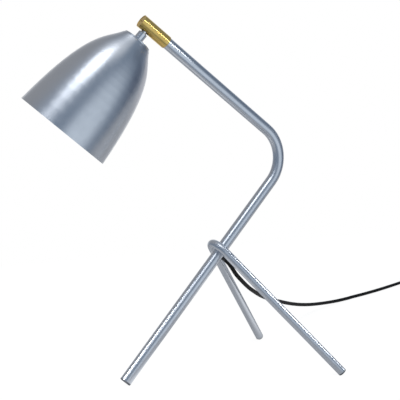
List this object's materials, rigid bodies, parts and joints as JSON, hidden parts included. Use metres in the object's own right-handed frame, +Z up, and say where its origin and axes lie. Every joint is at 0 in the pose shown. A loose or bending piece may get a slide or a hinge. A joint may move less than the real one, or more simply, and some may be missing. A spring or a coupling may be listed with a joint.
{
  "type": "table lamp",
  "caption": "Tripod table lamp with a bent tube stem and arm, a hairpin of thinner tube as rear legs, and a bell shade on a ball joint in a turning brass sleeve.",
  "frame": {"origin": "on the floor below the middle of the lamp without its cord", "axes": "+Z up; the lamp stands in the XZ plane with its shade towards -X and its rear legs towards +X; +Y away from the picture's side"},
  "size_m": [1.0769, 0.4787, 0.4855],
  "materials": {
    "satin_steel": "satin bead-blasted and lacquered",
    "spun_aluminium": "satin spun and lacquered",
    "polished_brass": "polished",
    "contact_brass": "plain",
    "bare_steel": "turned",
    "grey_plug": "moulded",
    "pale_plastic": "moulded",
    "ceramic_white": "glazed",
    "black_plastic": "moulded",
    "black_glass": "fused",
    "opal_glass": "opal",
    "cord_rubber": "matt",
    "wire_brown": "matt"
  },
  "bodies": {
    "stand": {"stem_tube": "satin_steel", "leg_hairpin": "satin_steel", "leg_weld": "satin_steel", "stem_foot_plug": "grey_plug", "leg_foot_plugs": "grey_plug", "cord_grommet": "black_plastic", "stem_leads": "wire_brown", "arm_bush": "pale_plastic", "cord_lead": "cord_rubber", "cord_coil": "cord_rubber", "switch_base": "black_plastic", "switch_cover": "black_plastic", "switch_contacts": "contact_brass", "switch_bushes": "cord_rubber", "switch_screws": "bare_steel", "plug_body": "black_plastic", "plug_pins": "contact_brass", "pin_sleeves": "black_plastic"},
    "swivel_sleeve": {"brass_sleeve": "polished_brass", "sleeve_end_cap": "polished_brass", "ball_seat_outer": "pale_plastic", "ball_seat_inner": "pale_plastic", "spring_washer": "bare_steel"},
    "joint_ball": {"joint_ball": "bare_steel"},
    "shade_head": {"head_stud": "bare_steel", "neck_spacer": "satin_steel", "shade": "spun_aluminium", "shade_washer": "bare_steel", "lock_nut": "bare_steel", "holder_cap": "ceramic_white", "holder_skirt": "ceramic_white", "terminal_block": "ceramic_white", "terminal_screws": "contact_brass", "screw_shell": "contact_brass", "contact_tongue": "contact_brass", "head_leads": "wire_brown", "bulb_cap": "bare_steel", "bulb_insulator": "black_glass", "bulb_contact": "bare_steel", "bulb_collar": "ceramic_white", "bulb_globe": "opal_glass"},
    "rocker": {"switch_rocker": "black_plastic"}
  },
  "joints": [
    {"name": "head_swivel", "type": "hinge", "parent": "stand", "child": "swivel_sleeve", "pos_m": [-0.04445, 0, 0.47097], "axis": [-0.807, 0, 0.5906], "range_deg": [-128, 151]},
    {"name": "shade_tilt", "type": "hinge", "parent": "swivel_sleeve", "child": "joint_ball", "pos_m": [-0.04445, 0, 0.47097], "axis": [0.1162, 0.9804, 0.1588], "range_deg": [-14.3, 9.7]},
    {"name": "shade_spin", "type": "hinge", "parent": "joint_ball", "child": "shade_head", "pos_m": [-0.04445, 0, 0.47097], "axis": [-0.611, 0.1966, -0.7668], "range_deg": [-170, 170]},
    {"name": "switch_rock", "type": "hinge", "parent": "stand", "child": "rocker", "pos_m": [0.75195, 0.33863, 0.01245], "axis": [-0.342, 0.9397, 0], "range_deg": [-14, 0]}
  ]
}
